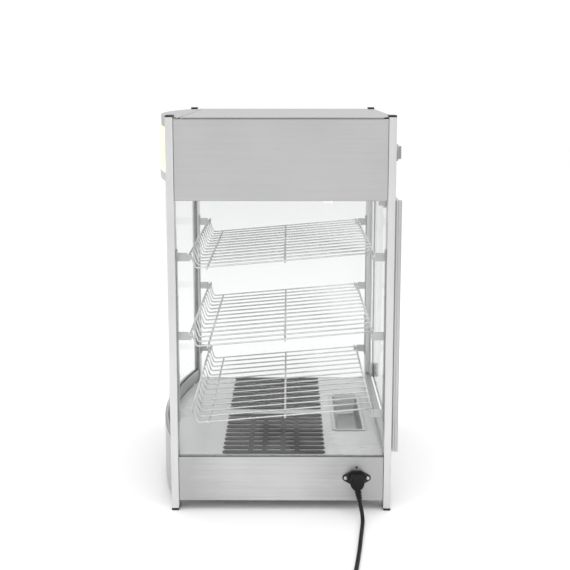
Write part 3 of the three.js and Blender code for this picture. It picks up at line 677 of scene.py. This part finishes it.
# ----------------------------------------------------------------------- deck grates
# Two loose grates of blunt flat bars on cross ties, cut from one thick sheet each, in dark
# grey baked enamel, one on each side of the deck. They lift off for washing.
enamel = Finish("grate_enamel", Specular_IOR_Level=0.35)
enamel_speckle = enamel.grain(0.0015)
enamel_wear = enamel.grain(0.03)
enamel.set(
    Base_Color=enamel.shades(enamel_speckle * 0.5 + enamel_wear * 0.5, grey(0.040), grey(0.075)),
    Roughness=0.38 + enamel_speckle * 0.2,
    Normal=enamel.relief(enamel_speckle, 0.0001),
)
for side in ("left", "right"):
    worked("deck_grate_" + side, enamel, 0.0006, 3, crease=40)

# --------------------------------------------------------------------------- water pan
# A small drawn stainless pan that hangs by its rolled rim in the deck and keeps the air
# moist. It is drawn from one sheet, so its corners and its floor are well rounded.
pan_low, pan_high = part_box("water_pan")
pan_middle = (pan_low + pan_high) / 2
pan_half = (pan_high - pan_low) / 2


def pan_ring(shape, inset, height, radius, corner_steps=8):
    ring = []
    reach_x, reach_y = pan_half.x - inset - radius, pan_half.y - inset - radius
    for quarter, (sign_x, sign_y) in enumerate(((1, 1), (-1, 1), (-1, -1), (1, -1))):
        for step in range(corner_steps + 1):
            angle = (quarter + step / corner_steps) * math.pi / 2
            ring.append(shape.verts.new((
                pan_middle.x + sign_x * reach_x + radius * math.cos(angle),
                pan_middle.y + sign_y * reach_y + radius * math.sin(angle), height)))
    return ring


pan_wall = 0.0010
pan_floor = pan_low.z
rim_top = pan_high.z
# Inset from the rim's edge, height, corner radius: down the inside, then up the outside.
pan_course = [
    (0.0006, rim_top - 0.0011, 0.0090), (0.0002, rim_top - 0.0006, 0.0090),
    (0.0006, rim_top - 0.0001, 0.0090), (0.0020, rim_top, 0.0080), (0.0062, rim_top - 0.0002, 0.0070),
    (0.0080, rim_top - 0.0012, 0.0060), (0.0090, rim_top - 0.0040, 0.0055),
    (0.0100, pan_floor + 0.0070, 0.0060), (0.0112, pan_floor + 0.0030, 0.0070),
    (0.0140, pan_floor + 0.0012, 0.0080), (0.0200, pan_floor + pan_wall, 0.0090),
]
pan_shape = bmesh.new()
pan_rings = [pan_ring(pan_shape, *station) for station in pan_course]
pan_back = [
    (0.0200, pan_floor, 0.0090), (0.0134, pan_floor + 0.0002, 0.0080),
    (0.0102, pan_floor + 0.0022, 0.0075), (0.0090, pan_floor + 0.0066, 0.0065),
    (0.0080, rim_top - 0.0042, 0.0060), (0.0072, rim_top - 0.0015, 0.0062),
]
pan_back_rings = [pan_ring(pan_shape, *station) for station in pan_back]
pan_shape.faces.new(pan_rings[-1])
pan_shape.faces.new(pan_back_rings[0])
for course in (pan_rings, pan_back_rings, [pan_back_rings[-1], pan_rings[0]]):
    for ring, after in zip(course, course[1:]):
        skin(pan_shape, ring, after)
pan_steel = brushed("pan_steel", (30, 1, 1), 0.52, 0.62, 0.20)
mesh_piece("drawn_water_pan", pan_shape, pan_steel, "pan", ["water_pan"], crease=50)

# --------------------------------------------------------------------------- the racks
# Fourteen plated wires are spot welded to four cross rods. The front of every wire turns
# up to make a stop, and the outer rods lie in the notches of the supports.
chrome = Finish("rack_chrome", Metallic=1.0)
plating = chrome.grain(0.02)
chrome.set(
    Base_Color=chrome.shades(plating, grey(0.70), (0.80, 0.80, 0.81)),
    Roughness=0.16 + plating * 0.14,
)
wire_radius, cross_radius = 0.0015, 0.002
wire_count, wire_spread = 14, 0.198
wire_fall = math.tan(math.radians(5))
rod_front, rod_rear, rod_above = -0.1565, 0.1698, 0.003
inner_rods = (0.013, -0.126)
inner_rod_half = 0.2
bend_y, bend_reach, bend_steps = -0.146, 0.005, 6
weld = cross_radius + wire_radius - 0.0004


def wire_z(y):
    """Height of a wire's middle over the middle of the tabs."""
    return rod_above + weld - (rod_rear - y) * wire_fall


def wire_points(x, level):
    """A wire from its rear end, straight to the bend and up to the front rod."""
    low_end = Vector((x, bend_y, wire_z(bend_y)))
    front_end = Vector((x, rod_front + 0.0016, rod_above + 0.003))
    rear_end = Vector((x, rod_rear + 0.002, wire_z(rod_rear + 0.002)))
    before = low_end + (rear_end - low_end).normalized() * bend_reach
    after = low_end + (front_end - low_end).normalized() * bend_reach
    points = [rear_end]
    for step in range(bend_steps + 1):
        share = step / bend_steps
        points.append((1 - share) ** 2 * before + 2 * share * (1 - share) * low_end + share ** 2 * after)
    points.append(front_end)
    return [point + Vector((0, 0, level)) for point in points]


def cross_rod(shape, half, y, z):
    ends = [Vector((x, y, z)) for x in (-half, 0, half)]
    run_tube(shape, ends, cross_radius)


rack_levels = {"bottom": 0.1755, "middle": 0.319, "top": 0.4625}
outer_rod_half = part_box("rack_top")[1].x - cross_radius * 0.35
for place, level in rack_levels.items():
    rack = bmesh.new()
    for i in range(wire_count):
        x = -wire_spread + i * 2 * wire_spread / (wire_count - 1)
        run_tube(rack, wire_points(x, level), wire_radius, 10)
        for y in (*inner_rods, rod_rear):
            nugget = Matrix.Translation((x, y, wire_z(y) + level - wire_radius * 0.8))
            bmesh.ops.create_icosphere(rack, subdivisions=2, radius=0.0017, matrix=nugget)
    for y in inner_rods:
        cross_rod(rack, inner_rod_half, y, wire_z(y) - weld + level)
    for y in (rod_front, rod_rear):
        cross_rod(rack, outer_rod_half, y, rod_above + level)
    mesh_piece(
        "wire_rack_" + place, rack, chrome, place + "_rack", ["rack_" + place], crease=50)

# ----------------------------------------------------------------------- rack supports
# An anodised strip is screwed to each post, with a notched tab turned out of it for each
# rack. The screws are plated, with a domed head and a cross recess.
strip_aluminium = anodised("strip_aluminium", (1, 1, 300), 0.50, 0.58)
for corner in corners:
    worked("rack_support_" + corner, strip_aluminium, 0.0003)


def screw_head(shape, place, direction, radius):
    """Adds a domed head, 0.55 radii tall, with a cross recess, lying on the surface at place."""
    local = facing(place, direction)
    sides = 32
    rings = [
        (1.00, 0.00, False), (1.00, 0.16, False), (0.94, 0.28, False), (0.80, 0.42, False),
        (0.66, 0.50, False), (0.56, 0.54, True), (0.50, 0.20, True),
    ]
    before = None
    for share, height, crossed in rings:
        ring = []
        for i in range(sides):
            angle = i / sides * math.tau
            reach = share * radius
            if crossed:
                reach *= 0.32 + 0.68 * abs(math.cos(2 * angle)) ** 3
            ring.append(shape.verts.new(local @ Vector((
                reach * math.cos(angle), reach * math.sin(angle), height * radius))))
        if before is None:
            shape.faces.new(ring)
        else:
            skin(shape, before, ring)
        before = ring
    shape.faces.new(before)


def screws(name, places, direction, radius, finish=None, body="case"):
    shape = bmesh.new()
    for place in places:
        screw_head(shape, Vector(place), direction, radius)
    return mesh_piece(name, shape, finish or plated_steel, body)


plated_steel = Finish("plated_screw_steel", Metallic=1.0)
screw_cloud = plated_steel.grain(0.002)
plated_steel.set(
    Base_Color=plated_steel.shades(screw_cloud, grey(0.55), grey(0.70)),
    Roughness=0.22 + screw_cloud * 0.18,
)
levels = list(rack_levels.values())
between_racks = [(lower + upper) / 2 for lower, upper in zip(levels, levels[1:])]
strip_thick, strip_middle, screw_from_end = 0.0015, 0.2112, 0.004
for corner in corners:
    low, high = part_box("rack_support_" + corner)
    inward = 1 if corner.startswith("front") else -1
    strip_face = (low.y if inward > 0 else high.y) + inward * strip_thick
    screw_x = math.copysign(strip_middle, low.x)
    heights = (low.z + screw_from_end, *between_racks, high.z - screw_from_end)
    places = [(screw_x, strip_face, z) for z in heights]
    screws("support_screws_" + corner, places, (0, inward, 0), 0.0028)

# ------------------------------------------------------------------------------- door
# The door is one toughened pane. Two plated clamps hold its corners and turn on pinned
# brackets on the left rear post; an edge profile on its free side is the handle.
handle_aluminium = anodised("handle_aluminium", (1, 1, 300), 0.50, 0.58)
handle_outline = [
    (0.2140, 0.2056), (0.2280, 0.2056), (0.2280, 0.2067), (0.2254, 0.2069), (0.2254, 0.2091),
    (0.2280, 0.2093), (0.2280, 0.2108), (0.2265, 0.2110), (0.2265, 0.2136), (0.2280, 0.2138),
    (0.2280, 0.2150), (0.2254, 0.2150), (0.2250, 0.2124), (0.2210, 0.2124), (0.2206, 0.2150),
    (0.2180, 0.2150), (0.2180, 0.2134), (0.2140, 0.2134), (0.2140, 0.2118), (0.2164, 0.2118),
    (0.2164, 0.2072), (0.2140, 0.2072),
]
handle_low, handle_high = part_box("door_handle")
handle = eased_prism(handle_outline, 0.00015, 2, handle_low.z, handle_high.z)
mesh_piece("grooved_door_handle", handle, handle_aluminium, "door", ["door_handle"])
plated_sheet = brushed("plated_sheet", (1, 1, 20), 0.50, 0.60, 0.22)
clamp_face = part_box("door_glass")[1].y + 0.0018
clamp_screw_x = -0.2055
bracket_face, bracket_screws_x, bracket_screw_from_end = 0.2068, (-0.2245, -0.2135), 0.007
for place in ("top", "bottom"):
    worked("door_clamp_" + place, plated_sheet, 0.0007, 3)
    worked("hinge_bracket_" + place, plated_sheet, 0.0005, 2)
    clamp_low, clamp_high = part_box("door_clamp_" + place)
    clamp_screw = (clamp_screw_x, clamp_face, (clamp_low.z + clamp_high.z) / 2)
    screws("clamp_screws_" + place, [clamp_screw], (0, 1, 0), 0.0030, body="door")
    bracket_low, bracket_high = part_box("hinge_bracket_" + place)
    if place == "top":
        bracket_z = bracket_high.z - bracket_screw_from_end
    else:
        bracket_z = bracket_low.z + bracket_screw_from_end
    places = [(x, bracket_face, bracket_z) for x in bracket_screws_x]
    screws("bracket_screws_" + place, places, (0, 1, 0), 0.0026)
worked("door_catch", plated_sheet, 0.0008, 3)

# --------------------------------------------------------------------------- controls
# On the back of the hood: a silver-grey moulded thermostat knob over a printed scale in
# degrees, and two black rocker switches, for the power and the lamps, each in a bezel.
silver = Finish("knob_plastic", Specular_IOR_Level=0.5, Coat_Weight=0.15, Coat_Roughness=0.2)
silver_cloud = silver.grain(0.004)
silver.set(
    Base_Color=silver.shades(silver_cloud, grey(0.27), grey(0.36)),
    Roughness=0.30 + silver_cloud * 0.2,
    Metallic=silver_cloud * 0.3,
    Normal=silver.relief(silver.grain(0.0006), 0.00002),
)
knob_low, knob_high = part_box("thermostat_knob")
knob_x, knob_z = (knob_low.x + knob_high.x) / 2, (knob_low.z + knob_high.z) / 2
panel_face = 0.203
knob_flutes = 18
knob_shape = bmesh.new()
# Radius, distance from the panel, and how deep the grip's flutes are cut at that ring.
knob_course = [
    (0.0030, -0.0068, 0), (0.0030, 0.0004, 0), (0.0180, 0.0004, 0), (0.0188, 0.0009, 0),
    (0.0190, 0.0016, 0), (0.0188, 0.0024, 0), (0.0182, 0.0034, 0), (0.0174, 0.0044, 0),
    (0.0171, 0.0052, 0.0004), (0.0169, 0.0070, 0.0008), (0.0162, 0.0165, 0.0008),
    (0.0158, 0.0178, 0.0004), (0.0149, 0.0190, 0), (0.0134, 0.0195, 0), (0.0080, 0.0196, 0),
]
knob_frame = facing((knob_x, panel_face, knob_z), (0, 1, 0))
knob_sides = knob_flutes * 8
before = None
for radius, reach, flute in knob_course:
    ring = []
    for i in range(knob_sides):
        angle = i / knob_sides * math.tau
        cut_radius = radius - flute * (0.5 - 0.5 * math.cos(angle * knob_flutes)) ** 2
        ring.append(knob_shape.verts.new(
            knob_frame @ Vector((cut_radius * math.cos(angle), cut_radius * math.sin(angle), reach))))
    if before is None:
        knob_shape.faces.new(ring)
    else:
        skin(knob_shape, before, ring)
    before = ring
knob_shape.faces.new(before)
mesh_piece("knob_body", knob_shape, silver, "knob", ["thermostat_knob"])
grip_bar = eased_prism(oblong(-0.0025, 0.0025, -0.012, 0.012), 0.0011, 4, 0.0180, 0.0250)
bmesh.ops.transform(grip_bar, matrix=knob_frame, verts=grip_bar.verts)
mesh_piece("knob_grip_bar", grip_bar, silver, "knob")

ink = Finish("dial_ink", Specular_IOR_Level=0.3)
ink_cloud = ink.grain(0.002)
ink.set(Base_Color=ink.shades(ink_cloud, grey(0.010), grey(0.030)), Roughness=0.45 + ink_cloud * 0.2)
pointer = eased_prism(oblong(-0.0006, 0.0006, 0.0030, 0.0116), 0.0002, 1, 0.0248, 0.0252)
bmesh.ops.transform(pointer, matrix=knob_frame, verts=pointer.verts)
mesh_piece("knob_pointer_line", pointer, ink, "knob")

# The scale runs clockwise: a mark for every 5 degrees Celsius, a figure at every other mark.
scale_marks = bmesh.new()
mark_count, scale_turn = 13, 270


def dial_place(step, radius):
    """Where a mark or a number of the scale stands; the knob rests at its first one."""
    angle = math.radians(90 + step / (mark_count - 1) * scale_turn)
    return Vector((knob_x + radius * math.cos(angle), panel_face, knob_z + radius * math.sin(angle)))


for step in range(mark_count):
    inner, outer = dial_place(step, 0.0206), dial_place(step, 0.0236 if step % 2 else 0.0246)
    run = (outer - inner).normalized()
    side_step = run.cross(Vector((0, 1, 0))) * 0.0004
    raised = Vector((0, 0.00012, 0))
    corner_places = [inner - side_step, outer - side_step, outer + side_step, inner + side_step]
    low_corners = [scale_marks.verts.new(place - raised) for place in corner_places]
    high_corners = [scale_marks.verts.new(place + raised) for place in corner_places]
    scale_marks.faces.new(low_corners)
    scale_marks.faces.new(high_corners)
    skin(scale_marks, low_corners, high_corners)
mesh_piece("dial_marks", scale_marks, ink, "case")
for step in range(0, mark_count, 2):
    figure = bpy.data.curves.new(f"dial_figure_{step}", "FONT")
    figure.body = str(30 + step * 5)
    figure.size = 0.0056
    figure.align_x, figure.align_y = "CENTER", "CENTER"
    figure.extrude = 0.0001
    figure_piece = bpy.data.objects.new(f"dial_figure_{step}", figure)
    figure.materials.append(ink.material)
    scene.collection.objects.link(figure_piece)
    figure_piece.location = dial_place(step, 0.0292) + Vector((0, 0.0001, 0))
    figure_piece.rotation_euler = (math.pi / 2, 0, math.pi)
    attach(figure_piece, "case")

# Half width, half height, distance from the panel: out of the well, over the rim and back in.
bezel_course = [
    (0.0073, 0.0102, -0.0040), (0.0073, 0.0102, 0.0008), (0.0078, 0.0107, 0.0013),
    (0.0091, 0.0126, 0.0014), (0.0098, 0.0133, 0.0009), (0.0100, 0.0135, 0.0002),
    (0.0078, 0.0113, 0.0002), (0.0078, 0.0113, -0.0040),
]
for use in ("power", "lamp"):
    rocker_low, rocker_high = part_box(use + "_switch_rocker")
    worked(use + "_switch_rocker", black_nylon, 0.0008, 3, crease=25)
    rocker_x = (rocker_low.x + rocker_high.x) / 2
    bezel = bmesh.new()
    bezel_rings = []
    for half_x, half_z, out in bezel_course:
        bezel_rings.append([
            bezel.verts.new((rocker_x + sign_x * half_x, panel_face + out, knob_z + sign_z * half_z))
            for sign_x, sign_z in ((1, 1), (-1, 1), (-1, -1), (1, -1))
        ])
    for ring, after in zip(bezel_rings, bezel_rings[1:] + bezel_rings[:1]):
        skin(bezel, ring, after)
    mesh_piece(use + "_switch_bezel", bezel, black_nylon, "case")
worked("thermostat", white_steel, 0.0012, 3)

# ------------------------------------------------------------------------- mains inlet
# A black appliance inlet behind an eye-shaped flange, held to the side panel by two bright
# screws; one small dark screw above it earths the panel.
worked("power_inlet", black_nylon, 0.0007, 3)
flange_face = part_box("power_inlet")[1].x
screw_reach, earth_screw_z = 0.020, 0.0812
places = [(flange_face, inlet_middle.y + reach, inlet_middle.z) for reach in (-screw_reach, screw_reach)]
screws("inlet_screws", places, (1, 0, 0), 0.0033)
dark_steel = Finish("blackened_screw_steel", Metallic=0.7)
dark_cloud = dark_steel.grain(0.002)
dark_steel.set(
    Base_Color=dark_steel.shades(dark_cloud, grey(0.020), grey(0.050)),
    Roughness=0.35 + dark_cloud * 0.2,
)
panel_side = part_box("lower_side_panel_right")[1].x
earth_screw = (panel_side, inlet_middle.y, earth_screw_z)
screws("earth_screw", [earth_screw], (1, 0, 0), 0.0021, dark_steel)

# -------------------------------------------------------------------------- the studio
# A white counter that runs into a white surround, under one broad soft light overhead.
floor = bpy.data.objects.new("counter", bpy.data.meshes.new("counter"))
floor_reach = 9
floor_corners = oblong(-floor_reach, floor_reach, -floor_reach, floor_reach)
floor.data.from_pydata([(x, y, 0) for x, y in floor_corners], [], [(0, 1, 2, 3)])
matt_white = Finish("matt_white", Base_Color=(0.95, 0.95, 0.95, 1), Roughness=0.9, Specular_IOR_Level=0.1)
floor.data.materials.append(matt_white.material)
scene.collection.objects.link(floor)

softbox = bpy.data.objects.new("softbox", bpy.data.lights.new("softbox", "AREA"))
softbox.data.shape = "RECTANGLE"
softbox.data.size, softbox.data.size_y = 2.6, 2.6
softbox.data.energy = 28
softbox.location = (0.5, 0.0, 2.6)
scene.collection.objects.link(softbox)

world = bpy.data.worlds.new("studio")
scene.world = world
world.use_nodes = True
surround = world.node_tree.nodes["Background"].inputs
surround["Color"].default_value = (1, 1, 1, 1)
surround["Strength"].default_value = 1.06
